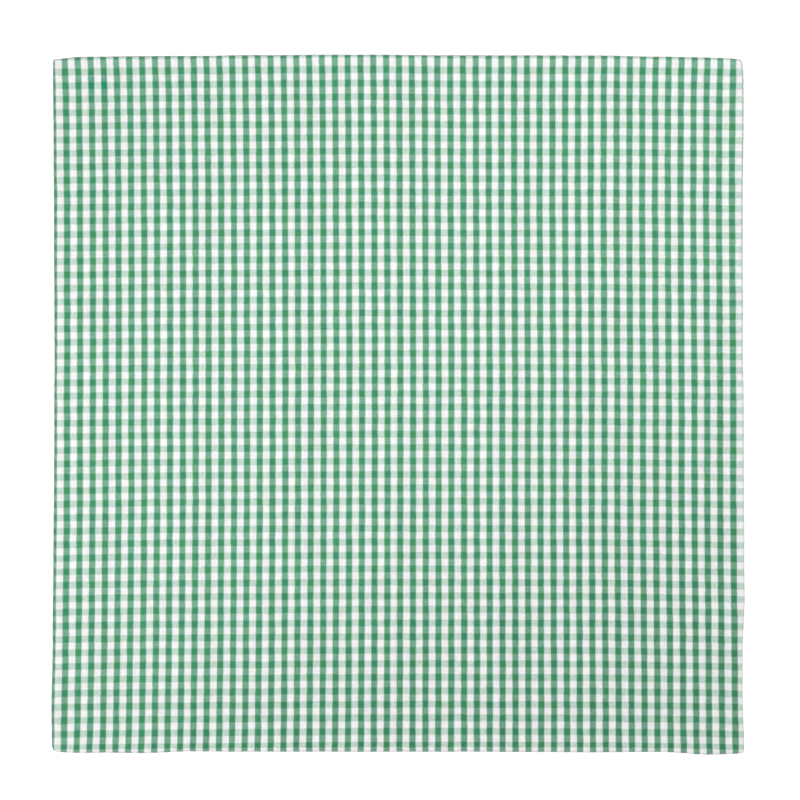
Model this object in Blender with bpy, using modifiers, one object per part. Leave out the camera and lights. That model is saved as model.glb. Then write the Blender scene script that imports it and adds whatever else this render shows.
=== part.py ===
"""A checked cotton handkerchief that lies open on a flat surface.

Metres, +Z up. The origin is on that surface, under the middle of the cloth, and +Y runs to the
cloth's top edge. The edges are rolled to the underside and hemmed, so the cloth rides over a thin
bead all round and comes down to the surface a finger's width inside it.
"""

from collections import namedtuple
import math

import bmesh
import bpy
from mathutils import Vector

# Finished cloth
WIDTH = 0.342
LENGTH = 0.345

# Colour of the green and white check, seen from too far away to part its threads
CLOTH_COLOUR = (0.366, 0.591, 0.462, 1.0)
CLOTH_ROUGHNESS = 0.85

# Hem, from the outer edge inwards, as heights above the surface
HemRow = namedtuple("HemRow", "inset top underside")
HEM_SECTION = (
    HemRow(0.0000, 0.0020, 0.0000),
    HemRow(0.0013, 0.0023, 0.0000),
    HemRow(0.0026, 0.0022, 0.0000),
    HemRow(0.0034, 0.0021, 0.0011),
    HemRow(0.0058, 0.0018, 0.0008),
    HemRow(0.0088, 0.0013, 0.0003),
    HemRow(0.0125, 0.0010, 0.0000),
)
HEM_ROUNDING = 0.0008
HEM_ROUNDING_STEPS = 2
ROUNDED_FROM_ANGLE = math.radians(60)

# How far each edge strays outwards from a straight one, at shares of its length
EdgeRow = namedtuple("EdgeRow", "along outward")
LEFT_EDGE = (
    EdgeRow(0.00, 0.0004),
    EdgeRow(0.06, 0.0006),
    EdgeRow(0.17, 0.0000),
    EdgeRow(0.32, -0.0003),
    EdgeRow(0.41, -0.0007),
    EdgeRow(0.54, -0.0008),
    EdgeRow(0.79, -0.0007),
    EdgeRow(0.88, -0.0003),
    EdgeRow(1.00, 0.0001),
)
RIGHT_EDGE = (
    EdgeRow(0.00, 0.0008),
    EdgeRow(0.10, 0.0000),
    EdgeRow(0.15, 0.0001),
    EdgeRow(0.23, 0.0008),
    EdgeRow(0.30, 0.0007),
    EdgeRow(0.37, 0.0003),
    EdgeRow(0.48, 0.0005),
    EdgeRow(0.58, -0.0001),
    EdgeRow(0.79, -0.0001),
    EdgeRow(0.92, 0.0004),
    EdgeRow(1.00, 0.0004),
)
BOTTOM_EDGE = (
    EdgeRow(0.00, 0.0000),
    EdgeRow(0.04, 0.0005),
    EdgeRow(0.08, 0.0002),
    EdgeRow(0.13, 0.0008),
    EdgeRow(0.21, -0.0005),
    EdgeRow(0.27, 0.0001),
    EdgeRow(0.60, 0.0001),
    EdgeRow(0.78, 0.0003),
    EdgeRow(0.88, 0.0001),
    EdgeRow(0.95, 0.0015),
    EdgeRow(1.00, 0.0009),
)
TOP_EDGE = (
    EdgeRow(0.00, -0.0018),
    EdgeRow(0.04, -0.0006),
    EdgeRow(0.13, -0.0002),
    EdgeRow(0.21, 0.0000),
    EdgeRow(0.30, 0.0003),
    EdgeRow(0.42, 0.0007),
    EdgeRow(0.58, 0.0004),
    EdgeRow(0.78, 0.0003),
    EdgeRow(0.87, -0.0004),
    EdgeRow(0.95, -0.0009),
    EdgeRow(1.00, -0.0015),
)

# Corners, each with its sides of the cloth and the radius it is worn to
CornerRow = namedtuple("CornerRow", "side_x side_y radius")
CORNERS = (
    CornerRow(-1, 1, 0.0010),
    CornerRow(1, 1, 0.0030),
    CornerRow(-1, -1, 0.0022),
    CornerRow(1, -1, 0.0017),
)

# Creases of a cloth that was folded in quarters, at shares of its length
# A trough lies between two shoulders, and a ridge stands on the crease's own line
CreaseRow = namedtuple("CreaseRow", "along shoulder ridge")
CREASE_REACH = 0.024
TROUGH_PEAK = 4 / 27
UPRIGHT_CREASE_X = 0.0009
UPRIGHT_CREASE = (
    CreaseRow(0.00, 0.0004, 0.0),
    CreaseRow(0.14, 0.0006, 0.0),
    CreaseRow(0.33, 0.0013, 0.0),
    CreaseRow(0.46, 0.0009, 0.0),
    CreaseRow(0.55, 0.0005, 0.0),
    CreaseRow(0.72, 0.0010, 0.0),
    CreaseRow(0.90, 0.0007, 0.0),
    CreaseRow(1.00, 0.0003, 0.0),
)
LEVEL_CREASE_Y = 0.0008
LEVEL_CREASE = (
    CreaseRow(0.00, 0.0, 0.0007),
    CreaseRow(0.15, 0.0, 0.0009),
    CreaseRow(0.32, 0.0, 0.0005),
    CreaseRow(0.47, 0.0, 0.0000),
    CreaseRow(0.53, 0.0004, 0.0),
    CreaseRow(0.66, 0.0012, 0.0),
    CreaseRow(0.85, 0.0010, 0.0),
    CreaseRow(1.00, 0.0006, 0.0),
)

# Soft swells where the cloth doesn't quite touch the surface, with the turn of their length from +Y
SwellRow = namedtuple("SwellRow", "x y half_width half_length turn height")
SWELLS = (
    SwellRow(-0.103, -0.118, 0.018, 0.075, 4.0, 0.0010),
    SwellRow(-0.069, -0.112, 0.017, 0.070, -5.0, 0.0015),
    SwellRow(-0.027, -0.106, 0.016, 0.085, 3.0, 0.0012),
    SwellRow(0.058, -0.146, 0.022, 0.060, 78.0, 0.0009),
    SwellRow(0.130, -0.128, 0.034, 0.075, -52.0, 0.0014),
    SwellRow(0.118, 0.118, 0.030, 0.070, 12.0, 0.0013),
    SwellRow(0.092, 0.050, 0.016, 0.050, -30.0, 0.0007),
    SwellRow(-0.120, 0.116, 0.022, 0.060, -40.0, 0.0010),
    SwellRow(-0.150, -0.030, 0.018, 0.110, 2.0, 0.0009),
)

# Grid of the cloth
CREASE_LINES = (0.003, 0.008, 0.015)
FIELD_STEP = 0.0145


def clear_scene():
    """Removes what the file opened with."""
    for old in list(bpy.data.objects):
        bpy.data.objects.remove(old, do_unlink=True)


def eased(rows, along, column):
    """A column of a table at a share of the length, with an easy curve from row to row."""
    if along <= rows[0].along:
        return getattr(rows[0], column)
    for low, high in zip(rows, rows[1:]):
        if along <= high.along:
            share = (along - low.along) / (high.along - low.along)
            ease = share * share * (3 - 2 * share)
            return getattr(low, column) * (1 - ease) + getattr(high, column) * ease
    return getattr(rows[-1], column)


def hem_height(inset, column):
    """Height of the cloth's top or underside at a distance in from the nearest edge."""
    for low, high in zip(HEM_SECTION, HEM_SECTION[1:]):
        if inset < high.inset:
            share = (inset - low.inset) / (high.inset - low.inset)
            return getattr(low, column) * (1 - share) + getattr(high, column) * share
    return getattr(HEM_SECTION[-1], column)


def crease_lift(offset, along, rows):
    """Lift beside one crease. It ends at the crease's reach, so the field stays flat."""
    reach_share = min(abs(offset) / CREASE_REACH, 1.0)
    trough = reach_share * (1 - reach_share) ** 2 / TROUGH_PEAK
    ridge = (1 - reach_share ** 2) ** 2
    return eased(rows, along, "shoulder") * trough + eased(rows, along, "ridge") * ridge


def swell_lift(x, y):
    """Lift of the soft swells at a point."""
    lift = 0.0
    for swell in SWELLS:
        turn = math.radians(swell.turn)
        across = (x - swell.x) * math.cos(turn) + (y - swell.y) * math.sin(turn)
        along = (y - swell.y) * math.cos(turn) - (x - swell.x) * math.sin(turn)
        spread = (across / swell.half_width) ** 2 + (along / swell.half_length) ** 2
        if spread < 1:
            lift += swell.height * (1 - spread) ** 2
    return lift


def field_lift(x, y):
    """How far creases and swells raise the cloth off the surface."""
    across = x / WIDTH + 0.5
    along = y / LENGTH + 0.5
    upright = crease_lift(x - UPRIGHT_CREASE_X, along, UPRIGHT_CREASE)
    level = crease_lift(y - LEVEL_CREASE_Y, across, LEVEL_CREASE)
    return max(upright, level, swell_lift(x, y))


def round_corners(x, y):
    """Draws a point of the square-cornered cloth in onto its rounded corners."""
    for corner in CORNERS:
        inner_x = WIDTH / 2 - corner.radius
        inner_y = LENGTH / 2 - corner.radius
        past_x = (x * corner.side_x - inner_x) / corner.radius
        past_y = (y * corner.side_y - inner_y) / corner.radius
        if past_x > 0 and past_y > 0:
            round_x = past_x * math.sqrt(1 - past_y ** 2 / 2)
            round_y = past_y * math.sqrt(1 - past_x ** 2 / 2)
            return (
                corner.side_x * (inner_x + corner.radius * round_x),
                corner.side_y * (inner_y + corner.radius * round_y),
            )
    return x, y


def stray_with_edges(x, y):
    """Moves a point with the edges, the less the further it lies from them."""
    across = x / WIDTH + 0.5
    along = y / LENGTH + 0.5
    left = eased(LEFT_EDGE, along, "outward")
    right = eased(RIGHT_EDGE, along, "outward")
    bottom = eased(BOTTOM_EDGE, across, "outward")
    top = eased(TOP_EDGE, across, "outward")
    return (
        x - left * (1 - across) + right * across,
        y - bottom * (1 - along) + top * along,
    )


def lay_point(x, y, column):
    """Place of a point of the flat cloth, on its top or its underside, as it lies."""
    inset = min(WIDTH / 2 - abs(x), LENGTH / 2 - abs(y))
    height = hem_height(inset, column) + field_lift(x, y)
    laid_x, laid_y = stray_with_edges(*round_corners(x, y))
    return Vector((laid_x, laid_y, height))


def grid_lines(length, crease):
    """Places of the grid's lines: close at the hems and the crease, wide over the field."""
    half = length / 2
    fixed = {crease}
    for row in HEM_SECTION:
        fixed.update((row.inset - half, half - row.inset))
    for line in CREASE_LINES:
        fixed.update((crease - line, crease + line))
    fixed = sorted(fixed)
    lines = []
    for low, high in zip(fixed, fixed[1:]):
        steps = math.ceil((high - low) / FIELD_STEP)
        lines.extend(low + (high - low) * step / steps for step in range(steps))
    return lines + [fixed[-1]]


def centre_on_origin(bm):
    """Brings the middle of the cloth's outline over the origin."""
    for axis in (0, 1):
        places = [vert.co[axis] for vert in bm.verts]
        middle = (min(places) + max(places)) / 2
        for vert in bm.verts:
            vert.co[axis] -= middle


def cloth_mesh():
    """One closed sheet: a grid laid on the surface, with a second side raised from it."""
    columns = grid_lines(WIDTH, UPRIGHT_CREASE_X)
    rows = grid_lines(LENGTH, LEVEL_CREASE_Y)
    across_steps = len(columns) - 1
    along_steps = len(rows) - 1
    bm = bmesh.new()
    bmesh.ops.create_grid(bm, x_segments=across_steps, y_segments=along_steps, size=0.5)
    for vert in bm.verts:
        column = columns[round((vert.co.x + 0.5) * across_steps)]
        row = rows[round((vert.co.y + 0.5) * along_steps)]
        vert.co = (column, row, 0.0)
    side = bm.verts[:] + bm.edges[:] + bm.faces[:]
    raised = bmesh.ops.extrude_face_region(bm, geom=side, use_keep_orig=True)["geom"]
    top_verts = {item for item in raised if isinstance(item, bmesh.types.BMVert)}
    for vert in bm.verts:
        column = "top" if vert in top_verts else "underside"
        vert.co = lay_point(vert.co.x, vert.co.y, column)
    centre_on_origin(bm)
    bmesh.ops.recalc_face_normals(bm, faces=bm.faces)
    mesh = bpy.data.meshes.new("cloth")
    bm.to_mesh(mesh)
    bm.free()
    return mesh


def cloth_material():
    """Plain matt cotton in the check's overall colour."""
    material = bpy.data.materials.new("checked cotton")
    material.use_nodes = True
    shader = material.node_tree.nodes["Principled BSDF"]
    shader.inputs["Base Color"].default_value = CLOTH_COLOUR
    shader.inputs["Roughness"].default_value = CLOTH_ROUGHNESS
    shader.inputs["Metallic"].default_value = 0.0
    return material


def round_hem(cloth):
    """Rounds the outer side of the rolled hem."""
    bevel = cloth.modifiers.new("rolled edge", "BEVEL")
    bevel.width = HEM_ROUNDING
    bevel.segments = HEM_ROUNDING_STEPS
    bevel.limit_method = "ANGLE"
    bevel.angle_limit = ROUNDED_FROM_ANGLE


def make_handkerchief():
    """Makes the one-piece cloth in its own collection."""
    collection = bpy.data.collections.new("handkerchief")
    bpy.context.scene.collection.children.link(collection)
    mesh = cloth_mesh()
    mesh.materials.append(cloth_material())
    mesh.shade_smooth()
    cloth = bpy.data.objects.new("cloth", mesh)
    collection.objects.link(cloth)
    round_hem(cloth)


clear_scene()
make_handkerchief()
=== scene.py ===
"""A green and white checked handkerchief with a rolled hem, lying open under soft light.

Metres, +Z up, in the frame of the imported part: the origin is on the surface under the middle of the
cloth, and +Y runs to the cloth's top edge.
"""

from collections import namedtuple
import math

import bpy
import numpy as np
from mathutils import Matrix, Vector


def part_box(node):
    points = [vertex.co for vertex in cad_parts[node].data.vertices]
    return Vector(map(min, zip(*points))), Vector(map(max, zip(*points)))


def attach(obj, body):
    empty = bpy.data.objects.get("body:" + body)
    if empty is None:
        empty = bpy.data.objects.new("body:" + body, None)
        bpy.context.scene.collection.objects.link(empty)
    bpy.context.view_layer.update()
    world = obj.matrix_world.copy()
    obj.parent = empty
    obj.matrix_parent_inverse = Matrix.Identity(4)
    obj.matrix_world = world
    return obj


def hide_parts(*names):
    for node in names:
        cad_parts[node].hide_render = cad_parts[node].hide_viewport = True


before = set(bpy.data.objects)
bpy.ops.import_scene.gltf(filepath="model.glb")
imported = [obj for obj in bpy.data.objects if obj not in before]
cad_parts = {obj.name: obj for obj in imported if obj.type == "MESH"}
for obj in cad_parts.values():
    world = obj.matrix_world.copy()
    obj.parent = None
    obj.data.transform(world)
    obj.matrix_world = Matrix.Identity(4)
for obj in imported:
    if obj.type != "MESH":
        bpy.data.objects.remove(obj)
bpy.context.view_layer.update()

MM = 0.001

# Finished cloth, as hemmed
WIDTH = 342 * MM
LENGTH = 345 * MM
THICKNESS = 0.32 * MM

# Rolled hem: the cloth goes over the outer side and winds up inside itself
ROLL_WIDTH = 2.2 * MM
ROLL_HEIGHT = 1.8 * MM
ROLL_START = math.radians(90)
ROLL_TIGHTENS = math.radians(245)
ROLL_END = math.radians(470)
ROLL_CORE = 0.34
ROLL_STEPS = 17
ROLL_INSET = ROLL_WIDTH / 2
HEM_FALL_END = 10.5 * MM

# How unevenly the roll was wound, as waves along it, and how far each stitch pulls it in
WaverRow = namedtuple("WaverRow", "share wavelength phase")
WAVERS = (
    WaverRow(0.6, 37 * MM, 0.7),
    WaverRow(0.4, 13.7 * MM, 0.0),
)
ROLL_WAVER = 0.05
PULL_IN = 0.06

# Near a corner the rolls of both sides meet, and each has less room inwards
CORNER_CROWDING = 1.3 * MM
LEAST_ROOM = 0.1

# Sewing of the hem, on a line between the roll and the cloth's underside
STITCH_PITCH = 4.6 * MM
STITCH_INSET = 2.5 * MM
STITCH_HEIGHT = 0.86 * MM
STITCH_SLANT = 0.6 * MM
STITCH_REACH = 0.75 * MM
STITCH_DIP = 0.3 * MM
STITCH_STEPS = 6
SMALLEST_STITCH = 0.8
LARGEST_STITCH = 1.15
STITCH_SEED = 7
THREAD_RADIUS = 0.1 * MM
THREAD_SIDES = 6

# How far each edge strays outwards from a straight one, at shares of its length
EdgeRow = namedtuple("EdgeRow", "along outward")
LEFT_EDGE = (
    EdgeRow(0.00, 0.4 * MM),
    EdgeRow(0.06, 0.6 * MM),
    EdgeRow(0.17, 0.0 * MM),
    EdgeRow(0.32, -0.4 * MM),
    EdgeRow(0.41, -0.7 * MM),
    EdgeRow(0.54, -0.9 * MM),
    EdgeRow(0.79, -0.6 * MM),
    EdgeRow(0.88, -0.4 * MM),
    EdgeRow(1.00, -0.1 * MM),
)
RIGHT_EDGE = (
    EdgeRow(0.00, 0.1 * MM),
    EdgeRow(0.10, -0.7 * MM),
    EdgeRow(0.15, -0.6 * MM),
    EdgeRow(0.23, 0.3 * MM),
    EdgeRow(0.30, 0.2 * MM),
    EdgeRow(0.37, 0.0 * MM),
    EdgeRow(0.48, -0.1 * MM),
    EdgeRow(0.58, -0.5 * MM),
    EdgeRow(0.79, -0.6 * MM),
    EdgeRow(0.92, -0.1 * MM),
    EdgeRow(0.97, -0.2 * MM),
    EdgeRow(1.00, -0.7 * MM),
)
BOTTOM_EDGE = (
    EdgeRow(0.00, -0.5 * MM),
    EdgeRow(0.04, 0.1 * MM),
    EdgeRow(0.08, 0.0 * MM),
    EdgeRow(0.13, 0.2 * MM),
    EdgeRow(0.21, -0.7 * MM),
    EdgeRow(0.27, -0.5 * MM),
    EdgeRow(0.60, -0.5 * MM),
    EdgeRow(0.78, -0.2 * MM),
    EdgeRow(0.88, -0.4 * MM),
    EdgeRow(0.95, 1.0 * MM),
    EdgeRow(1.00, 0.4 * MM),
)
TOP_EDGE = (
    EdgeRow(0.00, -1.9 * MM),
    EdgeRow(0.04, -0.7 * MM),
    EdgeRow(0.13, -0.3 * MM),
    EdgeRow(0.21, -0.2 * MM),
    EdgeRow(0.30, 0.2 * MM),
    EdgeRow(0.42, 0.4 * MM),
    EdgeRow(0.58, 0.1 * MM),
    EdgeRow(0.78, 0.0 * MM),
    EdgeRow(0.87, -0.5 * MM),
    EdgeRow(0.95, -1.0 * MM),
    EdgeRow(1.00, -1.7 * MM),
)

# Corners, each with its sides of the cloth and the radius it is worn to
CornerRow = namedtuple("CornerRow", "side_x side_y radius")
CORNERS = (
    CornerRow(-1, 1, 1.6 * MM),
    CornerRow(1, 1, 4.0 * MM),
    CornerRow(-1, -1, 4.3 * MM),
    CornerRow(1, -1, 3.0 * MM),
)

# Creases of a cloth that was folded in quarters, at shares of its length
# A trough lies between two shoulders, and a ridge stands on the crease's own line
CreaseRow = namedtuple("CreaseRow", "along shoulder ridge")
CREASE_REACH = 24 * MM
TROUGH_PEAK = 4 / 27
UPRIGHT_CREASE_X = 0.9 * MM
UPRIGHT_CREASE = (
    CreaseRow(0.00, 0.4 * MM, 0.0),
    CreaseRow(0.14, 0.6 * MM, 0.0),
    CreaseRow(0.33, 1.3 * MM, 0.0),
    CreaseRow(0.46, 0.9 * MM, 0.0),
    CreaseRow(0.55, 0.5 * MM, 0.0),
    CreaseRow(0.72, 1.0 * MM, 0.0),
    CreaseRow(0.90, 0.7 * MM, 0.0),
    CreaseRow(1.00, 0.3 * MM, 0.0),
)
LEVEL_CREASE_Y = 0.8 * MM
LEVEL_CREASE = (
    CreaseRow(0.00, 0.0, 0.7 * MM),
    CreaseRow(0.15, 0.0, 0.9 * MM),
    CreaseRow(0.32, 0.0, 0.5 * MM),
    CreaseRow(0.47, 0.0, 0.0),
    CreaseRow(0.53, 0.4 * MM, 0.0),
    CreaseRow(0.66, 1.2 * MM, 0.0),
    CreaseRow(0.85, 1.0 * MM, 0.0),
    CreaseRow(1.00, 0.6 * MM, 0.0),
)

# Soft swells where the cloth doesn't quite touch the surface, with the turn of their length from +Y
SwellRow = namedtuple("SwellRow", "x y half_width half_length turn height")
SWELLS = (
    SwellRow(-103 * MM, -118 * MM, 18 * MM, 75 * MM, 4.0, 1.0 * MM),
    SwellRow(-69 * MM, -112 * MM, 17 * MM, 70 * MM, -5.0, 1.5 * MM),
    SwellRow(-27 * MM, -106 * MM, 16 * MM, 85 * MM, 3.0, 1.2 * MM),
    SwellRow(58 * MM, -146 * MM, 22 * MM, 60 * MM, 78.0, 0.9 * MM),
    SwellRow(130 * MM, -128 * MM, 34 * MM, 75 * MM, -52.0, 1.4 * MM),
    SwellRow(118 * MM, 118 * MM, 30 * MM, 70 * MM, 12.0, 1.3 * MM),
    SwellRow(92 * MM, 50 * MM, 16 * MM, 50 * MM, -30.0, 0.7 * MM),
    SwellRow(-120 * MM, 116 * MM, 22 * MM, 60 * MM, -40.0, 1.0 * MM),
    SwellRow(-150 * MM, -30 * MM, 18 * MM, 110 * MM, 2.0, 0.9 * MM),
)

# Slight slackness of the whole cloth, as waves that cross each other
SlackRow = namedtuple("SlackRow", "wavelength turn phase height")
SLACK = (
    SlackRow(61 * MM, 12.0, 0.4, 0.08 * MM),
    SlackRow(43 * MM, 97.0, 2.1, 0.06 * MM),
    SlackRow(29 * MM, 38.0, 4.0, 0.04 * MM),
    SlackRow(19 * MM, 141.0, 1.3, 0.025 * MM),
    SlackRow(13 * MM, 74.0, 5.2, 0.015 * MM),
)

# Lines of the cloth's mesh, in from the roll and out from a crease
HEM_LINES = (0.0, 0.25, 0.55, 0.95, 1.5, 2.2, 3.1, 4.2, 5.5, 7.2)
CREASE_LINES = (0.7, 1.5, 2.5, 4.0)
FIELD_STEP = 2.6 * MM

# Check: green and white threads by turns, counted in each repeat
CHECK_WIDTH = 6.35 * MM
CHECK_LENGTH = 6.69 * MM
ENDS_PER_CHECK = 25
GREEN_ENDS = 12
PICKS_PER_CHECK = 22
GREEN_PICKS = 11
HALF_UPRIGHT_STRIPE = CHECK_WIDTH * GREEN_ENDS / ENDS_PER_CHECK / 2
HALF_LEVEL_STRIPE = CHECK_LENGTH * GREEN_PICKS / PICKS_PER_CHECK / 2
FIRST_UPRIGHT_STRIPE = 6.29 * MM
FIRST_LEVEL_STRIPE = 7.4 * MM

# The outermost level stripes lie apart from the even repeat, because the hem took up cloth there
TOP_SLACK = 0.85 * MM
TOP_SLACK_BAND = 4.3 * MM
LAST_LEVEL_STRIPE = 50
BOTTOM_CROWDING = 0.85 * MM
BOTTOM_CROWDING_BAND = 2.3 * MM

# How far the woven stripes stray, in millimetres, at shares of their length
# Each row has five of them, evenly spread over the cloth
StripeRow = namedtuple("StripeRow", "along strays")
UPRIGHT_STRIPES = (
    StripeRow(0.00, (-0.87, -0.24, 0.20, 0.58, 1.39)),
    StripeRow(0.15, (-0.02, 0.46, 0.46, 0.43, 0.81)),
    StripeRow(0.35, (0.71, 0.90, 0.59, 0.08, 0.27)),
    StripeRow(0.55, (0.87, 1.00, 0.68, 0.05, 0.10)),
    StripeRow(0.80, (0.77, 0.83, 0.32, -0.44, -0.43)),
    StripeRow(0.93, (0.26, 0.37, 0.11, -0.36, -0.17)),
    StripeRow(1.00, (-0.40, -0.08, -0.15, -0.28, 0.32)),
)
LEVEL_STRIPES = (
    StripeRow(0.00, (-0.76, -0.64, -0.78, -1.03, -0.93)),
    StripeRow(0.15, (-0.25, 0.21, -0.04, -0.34, -0.31)),
    StripeRow(0.45, (0.60, 0.93, 0.59, 0.26, 0.49)),
    StripeRow(0.60, (0.64, 0.86, 0.66, -0.15, -0.03)),
    StripeRow(0.80, (0.46, 0.58, 0.13, -0.51, -0.10)),
    StripeRow(0.94, (-0.28, -0.44, -0.72, -1.24, -0.74)),
    StripeRow(1.00, (-0.70, -0.93, -1.05, -1.74, -1.09)),
)

# The pattern's map repeats after a few checks, and its own first tile lies on the flat upper right
CHECKS_PER_TILE = 8
ENDS_PER_TILE = ENDS_PER_CHECK * CHECKS_PER_TILE
PICKS_PER_TILE = PICKS_PER_CHECK * CHECKS_PER_TILE
CHECKS_TO_TILE_X = 30
CHECKS_TO_TILE_Y = 20
UNDERSIDE_TILES = 20

# Right of the last green upright stripe every end is white, as in a selvedge
WHITE_FROM = 52.75
SELVEDGE_TILE = (WHITE_FROM - CHECKS_TO_TILE_X) / CHECKS_PER_TILE

# Weave: how far threads bend, how round and uneven they are, and how far they wander
CRIMP = 0.5
ROUNDNESS = 0.5
SLUB_HEIGHT = 0.42
WARP_LEAD = 0.60
THREAD_BORDER = 0.14
WANDERS_PER_TILE = 9
WANDER = 3.2
SLUBS_PER_TILE = 26
FIBRES_PER_TILE = 420
DYE_CLOUDS_PER_TILE = 11
STRIPE_BLEND = 1.2
THREAD_SPACING = 5.37
WARP_SEED = 0.5
WEFT_SEED = 500.5

# Painted shade in the gaps between the threads, by how low the weave lies there
GAP_LOW = -0.1
GAP_HIGH = 0.55
GAP_SHADE = 0.78

# Tone of each thread with its dye and its slubs, and of the cloth with its fibres and its clouds
THREAD_TONE = 0.86
DYE_TONE = 0.08
SLUB_TONE = 0.20
CLOTH_TONE = 0.985
FIBRE_TONE = 0.30
CLOUD_TONE = 0.20

# Feel of the cloth
COTTON_ROUGHNESS = 0.80
ROUGHNESS_SPREAD = 0.14
FIBRE_HEIGHT = 0.25
WEAVE_BUMP = 0.55
WEAVE_DEPTH = 0.10 * MM

# Colours of the threads, and the painted green bounce light and shade on white thread under green
# thread and over it
UNTINTED = (1.0, 1.0, 1.0)
WHITE_THREAD = (0.850, 0.847, 0.847)
COOL_GREEN = (0.040, 0.262, 0.135)
WARM_GREEN = (0.050, 0.276, 0.113)
GREEN_BOUNCE_ON_WEFT = (0.532, 0.806, 0.685)
GREEN_BOUNCE_ON_WARP = (0.855, 0.985, 0.918)

# Soft clouds in the green, between its two hues and in its depth
HUE_COOL = 0.3
HUE_WARM = 0.7
GREEN_TONE = 0.77
GREEN_CLOUDS = 0.46

# A small place near the top left corner where the green is darker and stronger
DARK_PATCH_X = -148.9 * MM
DARK_PATCH_Y = 157.8 * MM
DARK_PATCH_HALF_WIDTH = 9.0 * MM
DARK_PATCH_HALF_LENGTH = 4.3 * MM
DARK_PATCH_CORE = 0.45
DARK_PATCH_RIM = 1.3
PATCH_GREEN = (0.014, 0.255, 0.125)
PATCH_BOUNCE = (0.31, 0.68, 0.56)

# Painted shade on the green, darker towards the lower right corner, and half as strong on the painted
# green bounce on white thread
SHADE_ACROSS = 0.44
SHADE_DOWN = 0.90
SHADE_FROM = 34 * MM
SHADE_TO = 154 * MM
LOWER_RIGHT_SHADE = 0.865
BOUNCE_SHADE_SHARE = 0.5

# Painted shade on the outer side of the rolled hem, where it turns away from facing up
HEM_SHADE_WHITE = (0.42, 0.43, 0.42)
HEM_SHADE_GREEN = (0.205, 0.245, 0.225)
WHITE_HEM_SHADE = 0.68
WHITE_HEM_SHADE_STARTS = 0.985
WHITE_HEM_SHADE_FULL = 0.60
GREEN_HEM_SHADE = 0.52
GREEN_HEM_SHADE_STARTS = 0.998
GREEN_HEM_SHADE_FULL = 0.90
HEM_SHADE_FIBRES = 0.6
SHADED_HEM = 4.5 * MM
SHADED_HEM_FULL = 3.15 * MM
TURNED_ASIDE = 0.25

# Painted shade on white thread is weak on the lower right edge, and reaches further in on the upper
# right one
EASED_HEM_SHADE = 0.35
EASED_SHADE_FULL = -100 * MM
EASED_SHADE_ENDS = 50 * MM
RIGHT_HEM_SHADE = 0.75
RIGHT_HEM_SHADE_STARTS = 0.999
RIGHT_HEM_SHADE_FULL = 0.955
RIGHT_HEM_SHADE_FROM = -60 * MM
RIGHT_HEM_SHADE_TO = 150 * MM

# Two-ply sewing thread, with painted shade in the hollows between its plies
THREAD_HOLLOW_SHADE = (0.62, 0.66, 0.63)
THREAD_CROWN = (0.84, 0.85, 0.84)
PLY_SCALE = 900.0
FUZZ_SCALE = 9000.0

# Camera, straight above
VIEW_WIDTH = 396.2 * MM
VIEW_X = 1.0 * MM
VIEW_Y = 2.3 * MM
LENS = 120.0
SENSOR = 36.0

# Room, lamp and the surface under the cloth
ROOM_GLOW = 0.078
CEILING_GLOW = 2.80
CEILING_FALL = 4
BACKGROUND_GLOW = 1.0
LAMP_PLACE = (-0.040, 0.063, 0.40)
LAMP_TURN = 0.492
LAMP_LENGTH = 1.2
LAMP_WIDTH = 0.3
LAMP_POWER = 1.283
FLOOR_DROP = 0.15 * MM
UNDERLAY_DROP = 0.25 * MM
FLOOR_SIZE = 6.0
FLOOR_GLOW = 0.82
FLOOR_TONE = 0.295
UNDERLAY_TONE = 0.80
FLOOR_GRAIN = 0.005
GRAIN_SCALE = 300.0


def easy(share):
    """A share from 0 to 1 with an easy start and end."""
    return share * share * (3 - 2 * share)


def between_rows(rows, along):
    """The row before each share of the length, and the share of the way to the next row."""
    places = np.array([row.along for row in rows])
    low = np.clip(np.searchsorted(places, along, side="right") - 1, 0, len(rows) - 2)
    return low, np.clip((along - places[low]) / (places[low + 1] - places[low]), 0, 1)


def eased(rows, along, column):
    """A column of a table at shares of the length, with an easy curve from row to row."""
    values = np.array([getattr(row, column) for row in rows])
    low, share = between_rows(rows, along)
    return values[low] * (1 - easy(share)) + values[low + 1] * easy(share)


def crease_lift(offset, along, rows):
    """Lift beside one crease, which ends at the crease's reach."""
    reach_share = np.minimum(np.abs(offset) / CREASE_REACH, 1.0)
    trough = reach_share * (1 - reach_share) ** 2 / TROUGH_PEAK
    ridge = (1 - reach_share ** 2) ** 2
    return eased(rows, along, "shoulder") * trough + eased(rows, along, "ridge") * ridge


def swell_lift(x, y):
    """Lift of the soft swells."""
    lift = np.zeros_like(x)
    for swell in SWELLS:
        turn = math.radians(swell.turn)
        across = (x - swell.x) * math.cos(turn) + (y - swell.y) * math.sin(turn)
        along = (y - swell.y) * math.cos(turn) - (x - swell.x) * math.sin(turn)
        spread = (across / swell.half_width) ** 2 + (along / swell.half_length) ** 2
        lift += swell.height * np.clip(1 - spread, 0, None) ** 2
    return lift


def slack_lift(x, y):
    """Slight waves all over, never below the surface."""
    lift = np.zeros_like(x)
    for wave in SLACK:
        turn = math.radians(wave.turn)
        along = x * math.cos(turn) + y * math.sin(turn)
        lift += wave.height * (1 + np.sin(math.tau * along / wave.wavelength + wave.phase)) / 2
    return lift


def field_lift(x, y):
    """How far creases, swells and slackness raise the cloth off the surface."""
    across = x / WIDTH + 0.5
    along = y / LENGTH + 0.5
    upright = crease_lift(x - UPRIGHT_CREASE_X, along, UPRIGHT_CREASE)
    level = crease_lift(y - LEVEL_CREASE_Y, across, LEVEL_CREASE)
    return np.maximum(np.maximum(upright, level), swell_lift(x, y)) + slack_lift(x, y)


def hem_rise(x, y):
    """How far the cloth stands up beside the roll, which it leaves level and comes down from."""
    inset = np.minimum(WIDTH / 2 - np.abs(x), LENGTH / 2 - np.abs(y))
    share = np.clip((inset - ROLL_INSET) / (HEM_FALL_END - ROLL_INSET), 0, 1)
    return (ROLL_HEIGHT - THICKNESS) * (1 - easy(share))


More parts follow.
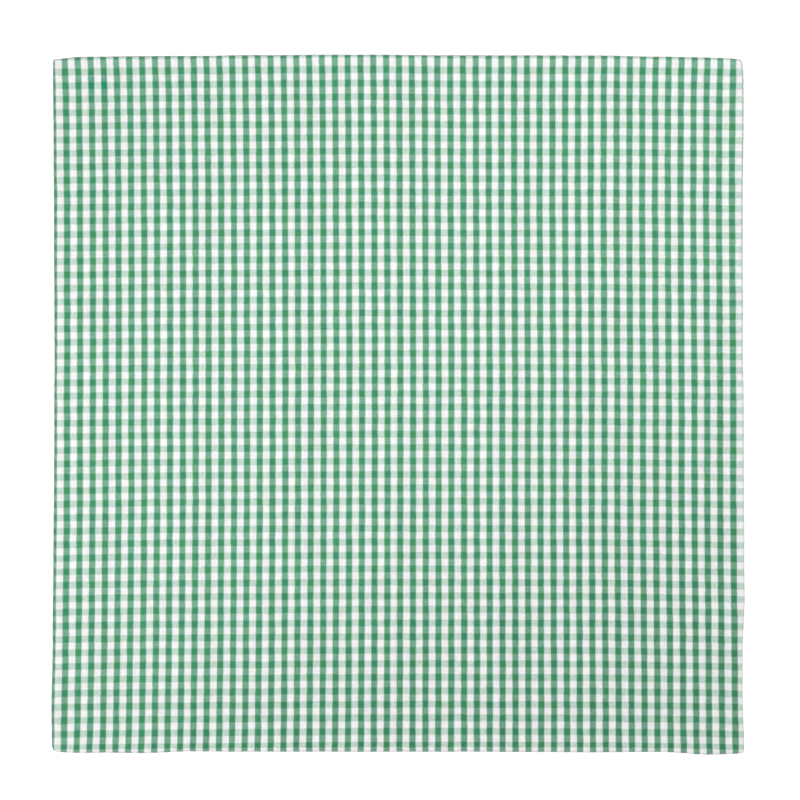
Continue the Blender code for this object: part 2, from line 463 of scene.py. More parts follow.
def round_corners(x, y):
    """Draws points of the square-cornered cloth in onto its rounded corners."""
    round_x = x.copy()
    round_y = y.copy()
    for corner in CORNERS:
        inner_x = WIDTH / 2 - corner.radius
        inner_y = LENGTH / 2 - corner.radius
        past_x = np.clip((x * corner.side_x - inner_x) / corner.radius, 0, 1)
        past_y = np.clip((y * corner.side_y - inner_y) / corner.radius, 0, 1)
        inside = (past_x > 0) & (past_y > 0)
        disc_x = inner_x + corner.radius * past_x * np.sqrt(1 - past_y ** 2 / 2)
        disc_y = inner_y + corner.radius * past_y * np.sqrt(1 - past_x ** 2 / 2)
        round_x = np.where(inside, corner.side_x * disc_x, round_x)
        round_y = np.where(inside, corner.side_y * disc_y, round_y)
    return round_x, round_y


def stray_with_edges(x, y):
    """Moves points with the edges, the less the further they lie from them."""
    across = x / WIDTH + 0.5
    along = y / LENGTH + 0.5
    left = eased(LEFT_EDGE, along, "outward")
    right = eased(RIGHT_EDGE, along, "outward")
    bottom = eased(BOTTOM_EDGE, across, "outward")
    top = eased(TOP_EDGE, across, "outward")
    return (
        x - left * (1 - across) + right * across,
        y - bottom * (1 - along) + top * along,
    )


def stripe_stray(rows, along, across):
    """How far the stripes stray, at shares of their length and of the cloth beside them."""
    strays = np.array([row.strays for row in rows]) * MM
    low, share = between_rows(rows, along)
    last = strays.shape[1] - 1
    beside = np.clip(across, 0, 1) * last
    first = np.clip(np.floor(beside).astype(int), 0, last - 1)
    part = beside - first
    at_low = strays[low, first] * (1 - part) + strays[low, first + 1] * part
    at_high = strays[low + 1, first] * (1 - part) + strays[low + 1, first + 1] * part
    return at_low * (1 - share) + at_high * share


def weave_places(x, y):
    """Where points of the laid cloth lie in its weave, as if every stripe were straight."""
    across = x / WIDTH + 0.5
    along = y / LENGTH + 0.5
    weave_x = x - stripe_stray(UPRIGHT_STRIPES, along, across)
    weave_y = y - stripe_stray(LEVEL_STRIPES, across, along)
    first_green = LENGTH / 2 - FIRST_LEVEL_STRIPE + HALF_LEVEL_STRIPE
    last_green = first_green - CHECK_LENGTH * LAST_LEVEL_STRIPE
    slack = np.clip((weave_y - first_green) / TOP_SLACK_BAND, 0, 1)
    crowding = np.clip((last_green - weave_y) / BOTTOM_CROWDING_BAND, 0, 1)
    return weave_x, weave_y - TOP_SLACK * slack - BOTTOM_CROWDING * crowding


def weave_map(weave_x, weave_y):
    """Map places in tiles of whole checks, from a green stripe's edge."""
    stripe_left = FIRST_UPRIGHT_STRIPE - WIDTH / 2 - HALF_UPRIGHT_STRIPE
    stripe_low = LENGTH / 2 - FIRST_LEVEL_STRIPE - HALF_LEVEL_STRIPE
    first_x = stripe_left + CHECK_WIDTH * CHECKS_TO_TILE_X
    first_y = stripe_low - CHECK_LENGTH * CHECKS_TO_TILE_Y
    return np.stack([
        (weave_x - first_x) / (CHECK_WIDTH * CHECKS_PER_TILE),
        (weave_y - first_y) / (CHECK_LENGTH * CHECKS_PER_TILE),
    ], axis=1)


def mesh_lines(length, crease):
    """Places of the mesh's lines between the rolls: close at the hems and the crease."""
    half = length / 2 - ROLL_INSET
    fixed = {crease}
    for line in HEM_LINES:
        fixed.update((line * MM - half, half - line * MM))
    for line in CREASE_LINES:
        fixed.update((crease - line * MM, crease + line * MM))
    fixed = sorted(fixed)
    lines = []
    for low, high in zip(fixed, fixed[1:]):
        steps = math.ceil((high - low) / FIELD_STEP)
        lines.extend(low + (high - low) * step / steps for step in range(steps))
    return np.array(lines + [fixed[-1]])


def perimeter(across_count, along_count):
    """Numbers of a grid's border points, once round against the clock from its first corner."""
    bottom = [(0, i) for i in range(across_count - 1)]
    right = [(j, across_count - 1) for j in range(along_count - 1)]
    top = [(along_count - 1, i) for i in range(across_count - 1, 0, -1)]
    left = [(j, 0) for j in range(along_count - 1, 0, -1)]
    return np.array([j * across_count + i for j, i in bottom + right + top + left])


def outward_of(x, y):
    """Unit directions square to a closed border that runs against the clock."""
    run_x = np.roll(x, -1) - np.roll(x, 1)
    run_y = np.roll(y, -1) - np.roll(y, 1)
    size = np.hypot(run_x, run_y)
    return run_y / size, -run_x / size


def border_run(x, y):
    """Length along a closed border up to each of its points."""
    spans = np.hypot(np.roll(x, -1) - x, np.roll(y, -1) - y)
    return np.cumsum(spans) - spans


def roll_section():
    """The roll's middle line: places and unit normals, outwards and up, and lengths along it."""
    angle = np.linspace(ROLL_START, ROLL_END, ROLL_STEPS + 1)
    tightening = np.clip((angle - ROLL_TIGHTENS) / (ROLL_END - ROLL_TIGHTENS), 0, 1)
    share = 1 - (1 - ROLL_CORE) * tightening
    half_width = (ROLL_WIDTH - THICKNESS) / 2
    half_height = (ROLL_HEIGHT - THICKNESS) / 2
    out = -share * np.cos(angle) * half_width
    up = share * np.sin(angle) * half_height
    normal_out = -np.cos(angle) / half_width
    normal_up = np.sin(angle) / half_height
    size = np.hypot(normal_out, normal_up)
    length = np.concatenate([[0.0], np.cumsum(np.hypot(np.diff(out), np.diff(up)))])
    return out, up, normal_out / size, normal_up / size, length


def pull_of_stitches(run):
    """How much wider or narrower the roll is along the border, where the sewing pulls it in."""
    waver = sum(
        wave.share * np.sin(run * math.tau / wave.wavelength + wave.phase) for wave in WAVERS
    )
    return 1 + ROLL_WAVER * waver + PULL_IN * np.cos(run * math.tau / STITCH_PITCH)


def room_at_corner(x, y):
    """Share of the roll's inward reach that is left near a corner, where both hems meet."""
    to_corner = np.hypot(WIDTH / 2 - ROLL_INSET - np.abs(x), LENGTH / 2 - ROLL_INSET - np.abs(y))
    return np.clip(to_corner / CORNER_CROWDING, LEAST_ROOM, 1.0)


def quads_between(first, second):
    """Faces between two closed rows of points, the second outside the first, seen from above."""
    return np.stack([first, second, np.roll(second, -1), np.roll(first, -1)], axis=1)


def add_mesh(name, places, faces, finish):
    """Adds a smooth mesh object with its material to the scene."""
    mesh = bpy.data.meshes.new(name)
    mesh.from_pydata(places.tolist(), [], faces.tolist())
    mesh.materials.append(finish)
    mesh.shade_smooth()
    piece = bpy.data.objects.new(name, mesh)
    bpy.context.scene.collection.objects.link(piece)
    return piece


class Laying:
    """The cloth as it lies: places of its field and its roll, and its shift to the middle."""

    def __init__(self):
        lines_x = mesh_lines(WIDTH, UPRIGHT_CREASE_X)
        lines_y = mesh_lines(LENGTH, LEVEL_CREASE_Y)
        self.across_count, self.along_count = len(lines_x), len(lines_y)
        self.x, self.y = (side.ravel() for side in np.meshgrid(lines_x, lines_y))
        self.border = perimeter(self.across_count, self.along_count)
        self.round_x, self.round_y = round_corners(self.x, self.y)
        self.lift = field_lift(self.x, self.y)
        self.out_x, self.out_y = outward_of(self.round_x[self.border], self.round_y[self.border])
        run = border_run(self.round_x[self.border], self.round_y[self.border])
        self.widths = pull_of_stitches(run)
        self.room = room_at_corner(self.x[self.border], self.y[self.border])

    def reached(self, reach):
        """Places at a distance out from the border, strayed with the edges."""
        border_x, border_y = self.round_x[self.border], self.round_y[self.border]
        return stray_with_edges(border_x + self.out_x * reach, border_y + self.out_y * reach)

    def middle_shift(self):
        """What brings the middle of the cloth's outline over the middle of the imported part."""
        low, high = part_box("cloth")
        outer = self.reached(ROLL_INSET * self.widths)
        return [
            (low[axis] + high[axis]) / 2 - (side.min() + side.max()) / 2
            for axis, side in enumerate(outer)
        ]


def make_cloth(laying, finish):
    """The whole cloth as one closed sheet: the field's two sides and the roll all round."""
    border, count = laying.border, len(laying.x)
    middle = THICKNESS / 2 + hem_rise(laying.x, laying.y) + laying.lift
    laid = stray_with_edges(laying.round_x, laying.round_y)
    weave_x, weave_y = weave_places(*laid)
    half = THICKNESS / 2
    places = [np.stack([*laid, middle + half], axis=1), np.stack([*laid, middle - half], axis=1)]
    weave = [np.stack([weave_x, weave_y], axis=1)] * 2
    face_rows, under_rows = [border], [border + count]
    count *= 2
    for out, up, normal_out, normal_up, length in list(zip(*roll_section()))[1:]:
        for side, rows in ((half, face_rows), (-half, under_rows)):
            reach = (out + normal_out * side) * np.where(out < 0, laying.room, laying.widths)
            height = ROLL_HEIGHT / 2 + up + normal_up * side + laying.lift[border]
            places.append(np.stack([*laying.reached(reach), height], axis=1))
            weave.append(np.stack([
                weave_x[border] + laying.out_x * length,
                weave_y[border] + laying.out_y * length,
            ], axis=1))
            rows.append(np.arange(count, count + len(border)))
            count += len(border)

    across, along = laying.across_count, laying.along_count
    corner = (np.arange(along - 1)[:, None] * across + np.arange(across - 1)).ravel()
    field = np.stack([corner, corner + 1, corner + across + 1, corner + across], axis=1)
    face = [field] + [quads_between(*pair) for pair in zip(face_rows, face_rows[1:])]
    under = [field + len(laying.x)]
    under += [quads_between(*pair) for pair in zip(under_rows, under_rows[1:])]
    face = np.concatenate(face + [quads_between(face_rows[-1], under_rows[-1])])
    under = np.concatenate(under)[:, ::-1]
    quads = np.concatenate([face, under])

    places = np.concatenate(places)
    places[:, :2] += laying.middle_shift()
    cloth = add_mesh("checked_cloth", places, quads, finish)
    uv = weave_map(*np.concatenate(weave).T)[quads]
    uv[len(face):, :, 0] += UNDERSIDE_TILES
    cloth.data.uv_layers.new(name="OFBake").data.foreach_set("uv", uv.ravel())
    return cloth


def cut_size():
    """Width and length of the cloth before its edges were rolled."""
    rolled = roll_section()[-1][-1] - ROLL_INSET
    return WIDTH + 2 * rolled, LENGTH + 2 * rolled


class NodeTree:
    """Adds nodes to a tree, all by one method."""

    def __init__(self, tree):
        self.tree = tree

    def node(self, kind, settings=(), sockets=()):
        """A node of a kind, with its settings first and then its sockets' values or links."""
        node = self.tree.nodes.new(kind)
        for name, value in dict(settings).items():
            setattr(node, name, value)
        for name, value in dict(sockets).items():
            value = getattr(value, "socket", value)
            if isinstance(value, bpy.types.NodeSocket):
                self.tree.links.new(value, node.inputs[name])
            else:
                node.inputs[name].default_value = value
        return node


class Finish(NodeTree):
    """A material under construction."""

    def __init__(self, name):
        self.material = bpy.data.materials.new(name)
        self.material.use_nodes = True
        self.material.node_tree.nodes.clear()
        super().__init__(self.material.node_tree)

    def number(self, kind, settings=(), sockets=(), output=0):
        """A node's output as a number to reckon with."""
        return Number(self, self.node(kind, settings, sockets).outputs[output])

    def parts(self, vector):
        """The three parts of a vector or colour as numbers."""
        split = self.node("ShaderNodeSeparateXYZ", (), {0: vector})
        return [Number(self, part) for part in split.outputs]

    def place(self):
        """Where a point lies on the whole cloth: across, up and its height."""
        return self.parts(self.node("ShaderNodeTexCoord").outputs["Object"])

    def blend(self, share, first, second):
        """A colour between two."""
        first, second = (
            (*colour, 1.0) if isinstance(colour, tuple) else colour for colour in (first, second)
        )
        sockets = {0: share, 6: first, 7: second}
        return self.node("ShaderNodeMix", {"data_type": "RGBA"}, sockets).outputs[2]

    def tint(self, first, second):
        """One colour laid over another as dye is."""
        sockets = {0: first, 1: second}
        return self.node("ShaderNodeVectorMath", {"operation": "MULTIPLY"}, sockets).outputs[0]

    def shade(self, colour, brightness):
        """A colour made darker or brighter."""
        sockets = {0: colour, 3: brightness}
        return self.node("ShaderNodeVectorMath", {"operation": "SCALE"}, sockets).outputs[0]

    def step(self, value, low, high, to_low=0.0, to_high=1.0):
        """An easy step from one number to another while a value goes from low to high."""
        sockets = {0: value, 1: low, 2: high, 3: to_low, 4: to_high}
        return self.number("ShaderNodeMapRange", {"interpolation_type": "SMOOTHSTEP"}, sockets)

    def close(self, sockets, bump=None):
        """Ends the material in its surface shader, with its bump where it has one."""
        if bump:
            sockets = {**sockets, "Normal": self.node("ShaderNodeBump", (), bump).outputs[0]}
        shader = self.node("ShaderNodeBsdfPrincipled", (), sockets)
        self.node("ShaderNodeOutputMaterial", (), {"Surface": shader.outputs[0]})
        return self.material


class Number:
    """A number that varies over a surface, so that its maths reads as plain expressions."""

    def __init__(self, finish, socket):
        self.finish = finish
        self.socket = socket

    def maths(self, operation, *values):
        """The outcome of one Math node."""
        return self.finish.number("ShaderNodeMath", {"operation": operation}, enumerate(values))

    def __add__(self, other):
        return self.maths("ADD", self, other)

    def __sub__(self, other):
        return self.maths("SUBTRACT", self, other)

    def __rsub__(self, other):
        return self.maths("SUBTRACT", other, self)

    def __mul__(self, other):
        return self.maths("MULTIPLY", self, other)

    def __lt__(self, other):
        return self.maths("LESS_THAN", self, other)

    def __mod__(self, other):
        return self.maths("FLOORED_MODULO", self, other)

    def sine(self):
        return self.maths("SINE", self)

    def cosine(self):
        return self.maths("COSINE", self)

    def floor(self):
        return self.maths("FLOOR", self)

    def size(self):
        return self.maths("ABSOLUTE", self)

    def highest(self, other):
        return self.maths("MAXIMUM", self, other)

    __radd__ = __add__
    __rmul__ = __mul__


class TilePlace:
    """The place in the pattern's tile as points on two circles, so that noise on it repeats."""

    def __init__(self, finish, across, up):
        self.finish = finish
        self.across = [(across * math.tau).cosine(), (across * math.tau).sine()]
        self.up = [(up * math.tau).cosine(), (up * math.tau).sine()]

    def noise(self, per_tile, detail):
        """Noise with so many features to the tile, as a colour of three unlike parts."""
        circles = [part * (per_tile / math.tau) for part in self.across + self.up]
        vector = self.finish.node("ShaderNodeCombineXYZ", (), enumerate(circles[:3])).outputs[0]
        sockets = {"Vector": vector, "W": circles[3], "Scale": 1.0, "Detail": detail}
        settings = {"noise_dimensions": "4D"}
        return self.finish.node("ShaderNodeTexNoise", settings, sockets).outputs[1]

    def thread_noise(self, circle, per_tile, thread):
        """Noise along each thread, unlike that of its neighbours."""
        first, second = (part * (per_tile / math.tau) for part in circle)
        sockets = {0: first, 1: second, 2: thread * THREAD_SPACING}
        vector = self.finish.node("ShaderNodeCombineXYZ", (), sockets).outputs[0]
        sockets = {"Vector": vector, "Scale": 1.0, "Detail": 1.0}
        return self.finish.number("ShaderNodeTexNoise", {"noise_dimensions": "3D"}, sockets)


def dark_patch(finish):
    """The share of the darker patch: a small soft place near the top left corner."""
    x, y, _ = finish.place()
    across = (x - DARK_PATCH_X) * (1 / DARK_PATCH_HALF_WIDTH)
    up = (y - DARK_PATCH_Y) * (1 / DARK_PATCH_HALF_LENGTH)
    return finish.step(across * across + up * up, DARK_PATCH_CORE, DARK_PATCH_RIM, 1.0, 0.0)


def lower_right_shading(finish):
    """How much of its brightness the green keeps under painted shade, which is less towards the lower
    right corner.
    """
    x, y, _ = finish.place()
    down_right = x * SHADE_ACROSS - y * SHADE_DOWN
    return finish.step(down_right, SHADE_FROM, SHADE_TO, 1.0, LOWER_RIGHT_SHADE)


def green_dye(finish, tile):
    """The green of dyed thread, and the painted green bounce light and shade on white thread over it.
    """
    depth, hue, _ = finish.parts(tile.noise(DYE_CLOUDS_PER_TILE, detail=2.0))
    in_patch, unshaded_share = dark_patch(finish), lower_right_shading(finish)
    green = finish.blend(finish.step(hue, HUE_COOL, HUE_WARM), COOL_GREEN, WARM_GREEN)
    # Painted shade: the green darkens towards the lower right corner
    green = finish.shade(green, (GREEN_TONE + depth * GREEN_CLOUDS) * unshaded_share)
    glow = finish.blend(in_patch, GREEN_BOUNCE_ON_WEFT, PATCH_BOUNCE)
    glow = finish.shade(glow, 1 - BOUNCE_SHADE_SHARE + unshaded_share * BOUNCE_SHADE_SHARE)
    return finish.blend(in_patch, green, PATCH_GREEN), glow


def hem_shade(finish, green_shows):
    """How much painted shade the hem's outer side gets: furthest in on green thread and up the right
    edge.
    """
    out_x, out_y, out_z = finish.parts(finish.node("ShaderNodeNewGeometry").outputs["Normal"])
    x, y, _ = finish.place()
    facing_up = out_z.size()
    outwards = (x.size() - WIDTH / 2).highest(y.size() - LENGTH / 2)
    on_hem = finish.step(outwards, -SHADED_HEM, -SHADED_HEM_FULL)
    right_edge = finish.step(out_x, 0.0, TURNED_ASIDE)
    lower_edge = finish.step(out_y, -TURNED_ASIDE, 0.0, 1.0, 0.0)

    # Painted shade grows as the surface turns away from facing up
    on_green = finish.step(facing_up, GREEN_HEM_SHADE_FULL, GREEN_HEM_SHADE_STARTS, GREEN_HEM_SHADE, 0.0) * on_hem
    on_white = finish.step(facing_up, WHITE_HEM_SHADE_FULL, WHITE_HEM_SHADE_STARTS, WHITE_HEM_SHADE, 0.0)
    # Less painted shade on white thread at the lower right edge, and more reaching in along the upper
    # right
    eased_shade = right_edge * finish.step(y, EASED_SHADE_FULL, EASED_SHADE_ENDS, 1.0, 0.0)
    on_white = on_white * (1 - eased_shade * (1 - EASED_HEM_SHADE)) * (1 - lower_edge)
    right_hem_shade = finish.step(facing_up, RIGHT_HEM_SHADE_FULL, RIGHT_HEM_SHADE_STARTS, RIGHT_HEM_SHADE, 0.0) * on_hem
    on_white = on_white.highest(right_hem_shade * right_edge * finish.step(y, RIGHT_HEM_SHADE_FROM, RIGHT_HEM_SHADE_TO))
    return on_white + (on_green - on_white) * green_shows


def green_share(finish, thread, per_check, green):
    """How green each thread is, where a stripe's border threads share their dye a little."""
    middle = green / 2 - 0.5
    from_middle = ((thread - middle + per_check / 2) % per_check - per_check / 2).size()
    return finish.step(from_middle, green / 2 - STRIPE_BLEND, green / 2 + STRIPE_BLEND, 1.0, 0.0)


# Threads that run one way: their numbers, places across them, turns to rise, slubs and tones
Threads = namedtuple("Threads", "number side turn slub tone")


def count_threads(tile, places, per_tile, circle, first, seed):
    """The threads that run one way, at places counted in threads across them."""
    number = places.floor() % per_tile
    slub = tile.thread_noise(circle, SLUBS_PER_TILE, number + first)
    settings = {"noise_dimensions": "1D"}
    dye = tile.finish.number("ShaderNodeTexWhiteNoise", settings, {"W": number + seed})
    return Threads(
        number=number,
        side=places - places.floor() - 0.5,
        turn=1 - (number % 2) * 2,
        slub=slub,
        tone=THREAD_TONE + dye * DYE_TONE + slub * SLUB_TONE,
    )


def thread_rise(threads, crossed, crimp):
    """How high threads stand as they bend over and under the ones that they cross."""
    bend = (crossed * math.pi).sine() * threads.turn * crimp
    crown = (1 - threads.side * threads.side * 4) * ROUNDNESS
    return bend + crown + (threads.slub - 0.5) * SLUB_HEIGHT


def checked_cotton():
    """Fine plain weave of green and white, drawn thread by thread on the cloth's own map."""
    finish = Finish("checked_cotton")
    across, up, _ = finish.parts(finish.node("ShaderNodeUVMap", {"uv_map": "OFBake"}).outputs[0])
    tile = TilePlace(finish, across, up)
    sway, swing, tone = finish.parts(tile.noise(WANDERS_PER_TILE, detail=2.0))
    fibres, streaks, _ = finish.parts(tile.noise(FIBRES_PER_TILE, detail=1.0))

    ends = across * ENDS_PER_TILE + (sway - 0.5) * WANDER
    picks = up * PICKS_PER_TILE + (swing - 0.5) * WANDER
    warp = count_threads(tile, ends, ENDS_PER_TILE, tile.up, 0, WARP_SEED)
    weft = count_threads(tile, picks, PICKS_PER_TILE, tile.across, ENDS_PER_TILE, WEFT_SEED)
    warp_rise = thread_rise(warp, picks, CRIMP)
    weft_rise = thread_rise(weft, ends, -CRIMP)
    rise = warp_rise.highest(weft_rise)
    warp_shows = finish.step(warp_rise - weft_rise + WARP_LEAD, -THREAD_BORDER, THREAD_BORDER)

    green, glow = green_dye(finish, tile)
    on_this_side = (across + UNDERSIDE_TILES / 2) % UNDERSIDE_TILES
    inside_selvedge = on_this_side < UNDERSIDE_TILES / 2 + SELVEDGE_TILE
    end_in_check, pick_in_check = warp.number % ENDS_PER_CHECK, weft.number % PICKS_PER_CHECK
    green_end = green_share(finish, end_in_check, ENDS_PER_CHECK, GREEN_ENDS) * inside_selvedge
    green_pick = green_share(finish, pick_in_check, PICKS_PER_CHECK, GREEN_PICKS)
    # White threads beside green ones carry painted green bounce light and shade
    white_end = finish.tint(WHITE_THREAD, finish.blend(green_pick, UNTINTED, GREEN_BOUNCE_ON_WARP))
    white_pick = finish.tint(WHITE_THREAD, finish.blend(green_end, UNTINTED, glow))
    end_colour = finish.shade(finish.blend(green_end, white_end, green), warp.tone)
    pick_colour = finish.shade(finish.blend(green_pick, white_pick, green), weft.tone)

    # Painted shade where the weave lies low between the threads
    painted_gap_shade = finish.step(rise, GAP_LOW, GAP_HIGH, GAP_SHADE, 1.0)
    cloth_tone = CLOTH_TONE + (fibres - 0.5) * FIBRE_TONE + (tone - 0.5) * CLOUD_TONE
    shown = finish.shade(finish.blend(warp_shows, pick_colour, end_colour), painted_gap_shade * cloth_tone)
    green_shows = green_pick + (green_end - green_pick) * warp_shows
    # Painted shade on the roll's outer side, greyer and darker where it turns away from facing up
    hem_shading = hem_shade(finish, green_shows) * (1 - HEM_SHADE_FIBRES / 2 + fibres * HEM_SHADE_FIBRES)
    shown = finish.blend(hem_shading, shown, finish.blend(green_shows, HEM_SHADE_WHITE, HEM_SHADE_GREEN))
    return finish.close(
        {
            "Base Color": shown,
            "Roughness": COTTON_ROUGHNESS + streaks * ROUGHNESS_SPREAD,
            "Specular IOR Level": 0.25,
            "Sheen Weight": 0.08,
            "Sheen Roughness": 0.5,
        },
        {"Height": rise + fibres * FIBRE_HEIGHT, "Strength": WEAVE_BUMP, "Distance": WEAVE_DEPTH},
    )


def sewing_cotton():
    """White two-ply sewing thread, with painted shade in the hollows between its plies."""
    finish = Finish("sewing_cotton")
    place = finish.node("ShaderNodeTexCoord").outputs["Object"]
    sockets = {"Vector": place, "Scale": FUZZ_SCALE, "Detail": 2.0}
    fuzz = finish.number("ShaderNodeTexNoise", (), sockets)
    sockets = {"Vector": place, "Scale": PLY_SCALE}
    ply = finish.number("ShaderNodeTexWave", {"bands_direction": "DIAGONAL"}, sockets, 1)
    # Painted shade darkens the hollows between the plies
    shown = finish.blend(ply * 0.5 + fuzz * 0.5, THREAD_HOLLOW_SHADE, THREAD_CROWN)
    return finish.close(
        {"Base Color": shown, "Roughness": 0.6 + fuzz * 0.2, "Specular IOR Level": 0.3},
        {"Height": ply + fuzz * 0.5, "Strength": 0.5, "Distance": 0.03 * MM},
    )


def stitch_tree(thread):
    """Geometry nodes that sew small slanted stitches along a line."""
    tree = bpy.data.node_groups.new("slip_stitches", "GeometryNodeTree")
    face = tree.interface
    face.new_socket("Line", in_out="INPUT", socket_type="NodeSocketGeometry")
    for name in ("Pitch", "Slant", "Reach", "Dip", "Thread Radius"):
        face.new_socket(name, in_out="INPUT", socket_type="NodeSocketFloat")
    face.new_socket("Stitches", in_out="OUTPUT", socket_type="NodeSocketGeometry")
    nodes = NodeTree(tree)
    given = nodes.node("NodeGroupInput").outputs

    def minus(value):
        sockets = {0: value, 1: -1.0}
        return nodes.node("ShaderNodeMath", {"operation": "MULTIPLY"}, sockets).outputs[0]

    def point(x, y, z):
        return nodes.node("ShaderNodeCombineXYZ", (), {0: x, 1: y, 2: z}).outputs[0]

    arch = nodes.node("GeometryNodeCurveQuadraticBezier", (), {
        "Resolution": STITCH_STEPS,
        "Start": point(minus(given["Slant"]), minus(given["Reach"]), 0.0),
        "Middle": point(0.0, 0.0, minus(given["Dip"])),
        "End": point(given["Slant"], given["Reach"], given["Dip"]),
    })
    sockets = {"Resolution": THREAD_SIDES, "Radius": given["Thread Radius"]}
    ring = nodes.node("GeometryNodeCurvePrimitiveCircle", (), sockets)
    sockets = {"Curve": arch.outputs[0], "Profile Curve": ring.outputs[0], "Fill Caps": True}
    stitch = nodes.node("GeometryNodeCurveToMesh", (), sockets)
    line = nodes.node("GeometryNodeMeshToCurve", (), {0: given["Line"]}).outputs[0]
    sockets = {"Curve": line, "Length": given["Pitch"]}
    spots = nodes.node("GeometryNodeResampleCurve", {"mode": "LENGTH"}, sockets).outputs[0]
    along = nodes.node("GeometryNodeInputTangent").outputs[0]
    settings = {"axis": "X", "pivot_axis": "Z"}
    turn = nodes.node("FunctionNodeAlignRotationToVector", settings, {"Vector": along})
    sockets = {2: SMALLEST_STITCH, 3: LARGEST_STITCH, 8: STITCH_SEED}
    uneven = nodes.node("FunctionNodeRandomValue", {"data_type": "FLOAT"}, sockets)
    placed = nodes.node("GeometryNodeInstanceOnPoints", (), {
        "Points": spots,
        "Instance": stitch.outputs[0],
        "Rotation": turn.outputs[0],
        "Scale": uneven.outputs[1],
    })
    real = nodes.node("GeometryNodeRealizeInstances", (), {0: placed.outputs[0]})
    sockets = {"Geometry": real.outputs[0], "Material": thread}
    finished = nodes.node("GeometryNodeSetMaterial", (), sockets)
    nodes.node("NodeGroupOutput", (), {0: finished.outputs[0]})
    return tree


def make_stitches(laying, thread):
    """Slip stitches that hold the roll to the cloth's underside, all round."""
    x, y = laying.reached((ROLL_INSET - STITCH_INSET) * np.ones(len(laying.border)))
    shift_x, shift_y = laying.middle_shift()
    height = STITCH_HEIGHT + laying.lift[laying.border]
    clear = laying.room >= 1.0
    places = np.stack([x + shift_x, y + shift_y, height], axis=1)[clear]
    edges = [(i, (i + 1) % len(places)) for i in range(len(places))]
    mesh = bpy.data.meshes.new("stitch_line")
    mesh.from_pydata(places.tolist(), edges, [])
    line = bpy.data.objects.new("stitch_line", mesh)
    bpy.context.scene.collection.objects.link(line)
    tree = stitch_tree(thread)
    sewing = line.modifiers.new("sewing", "NODES")
    sewing.node_group = tree
    sizes = {
        "Pitch": STITCH_PITCH,
        "Slant": STITCH_SLANT,
        "Reach": STITCH_REACH,
        "Dip": STITCH_DIP,
        "Thread Radius": THREAD_RADIUS,
    }
    for item in tree.interface.items_tree:
        if item.name in sizes:
            sewing[item.identifier] = sizes[item.name]
    bpy.context.view_layer.update()
    sewn = line.evaluated_get(bpy.context.evaluated_depsgraph_get())
    stitches = bpy.data.objects.new("slip_stitches", bpy.data.meshes.new_from_object(sewn))
    stitches.data.shade_smooth()
    bpy.context.scene.collection.objects.link(stitches)
    line.modifiers.remove(sewing)
    bpy.data.objects.remove(line)
    return stitches


def make_surface(name, drop, glow, tone):
    """A plain pale surface under the cloth."""
    finish = Finish(name)
    grain = finish.number("ShaderNodeTexNoise", (), {"Scale": GRAIN_SCALE})
    pale = finish.blend(grain, (tone - FLOOR_GRAIN,) * 3, (tone + FLOOR_GRAIN,) * 3)
    surface = finish.close({
        "Base Color": pale,
        "Roughness": 0.9,
        "Specular IOR Level": 0.0,
        "Emission Color": (1.0, 1.0, 1.0, 1.0),
        "Emission Strength": glow,
    })
    half = FLOOR_SIZE / 2
    corners = np.array([(-half, -half), (half, -half), (half, half), (-half, half)])
    places = np.column_stack([corners, np.full(4, -drop)])
    laid = add_mesh(name, places, np.array([[0, 1, 2, 3]]), surface)
    return laid


def make_floor():
    """The bright floor that shows but lights nothing, over an unseen one that gives light back."""
    floor = make_surface("pale_floor", FLOOR_DROP, FLOOR_GLOW, FLOOR_TONE)
    floor.visible_diffuse = False
    floor.visible_glossy = False
    floor.visible_shadow = False
    underlay = make_surface("pale_underlay", UNDERLAY_DROP, 0.0, UNDERLAY_TONE)
    underlay.visible_camera = False


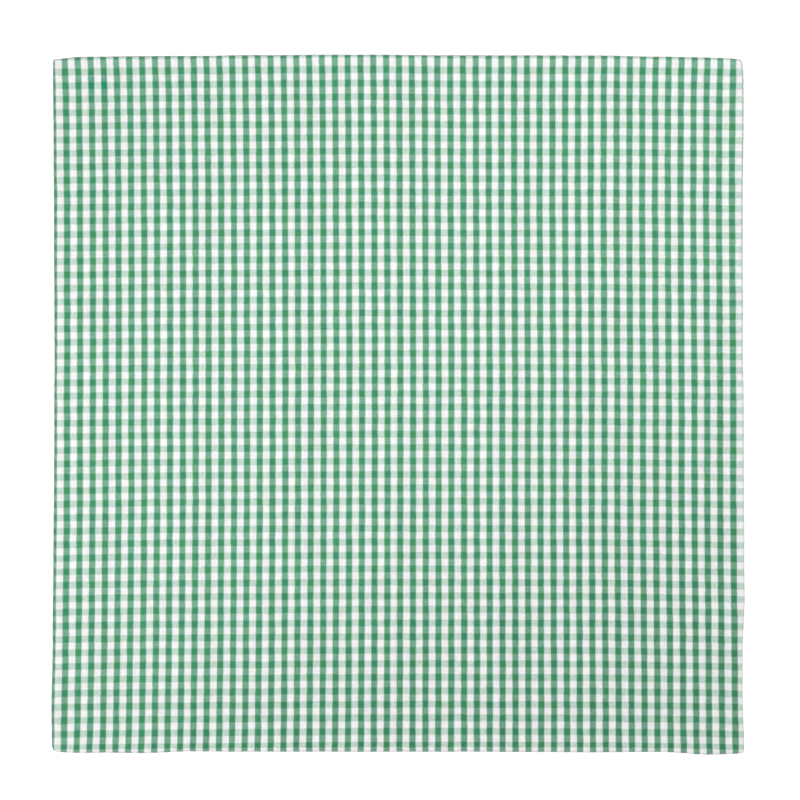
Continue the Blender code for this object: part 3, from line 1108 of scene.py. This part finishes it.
def make_light():
    """A pale room lit softly from its ceiling, and a long soft lamp above, to the upper left."""
    world = bpy.data.worlds.new("pale_room")
    world.use_nodes = True
    world.node_tree.nodes.clear()
    room = NodeTree(world.node_tree)
    direction = room.node("ShaderNodeTexCoord").outputs["Generated"]
    height = room.node("ShaderNodeSeparateXYZ", (), {0: direction}).outputs[2]
    overhead = room.node("ShaderNodeMath", {"operation": "MAXIMUM"}, {0: height, 1: 0.0}).outputs[0]
    sockets = {0: overhead, 1: CEILING_FALL}
    fall = room.node("ShaderNodeMath", {"operation": "POWER"}, sockets).outputs[0]
    sockets = {0: fall, 1: CEILING_GLOW, 2: ROOM_GLOW}
    glow = room.node("ShaderNodeMath", {"operation": "MULTIPLY_ADD"}, sockets).outputs[0]
    lights = room.node("ShaderNodeBackground", (), {"Strength": glow}).outputs[0]
    sockets = {"Color": (1.0, 1.0, 1.0, 1.0), "Strength": BACKGROUND_GLOW}
    shows = room.node("ShaderNodeBackground", (), sockets).outputs[0]
    seen = room.node("ShaderNodeLightPath").outputs["Is Camera Ray"]
    surface = room.node("ShaderNodeMixShader", (), {0: seen, 1: lights, 2: shows}).outputs[0]
    room.node("ShaderNodeOutputWorld", (), {"Surface": surface})
    bpy.context.scene.world = world
    lamp = bpy.data.lights.new("soft_lamp", "AREA")
    lamp.shape = "RECTANGLE"
    lamp.size = LAMP_LENGTH
    lamp.size_y = LAMP_WIDTH
    lamp.energy = LAMP_POWER
    holder = bpy.data.objects.new("soft_lamp", lamp)
    holder.location = LAMP_PLACE
    holder.rotation_euler[2] = LAMP_TURN
    holder.visible_camera = False
    bpy.context.scene.collection.objects.link(holder)


def make_camera():
    """Camera straight above the cloth."""
    camera = bpy.data.cameras.new("above")
    camera.lens = LENS
    camera.sensor_width = SENSOR
    camera.clip_start = 0.01
    holder = bpy.data.objects.new("above", camera)
    holder.location = (VIEW_X, VIEW_Y, VIEW_WIDTH * LENS / SENSOR)
    bpy.context.scene.collection.objects.link(holder)
    bpy.context.scene.camera = holder


laying = Laying()
cloth = make_cloth(laying, checked_cotton())
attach(cloth, "root")
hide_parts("cloth")

stitches = make_stitches(laying, sewing_cotton())
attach(stitches, "root")

cut_size()

make_floor()
make_light()
make_camera()
bpy.context.scene.view_settings.view_transform = "Standard"
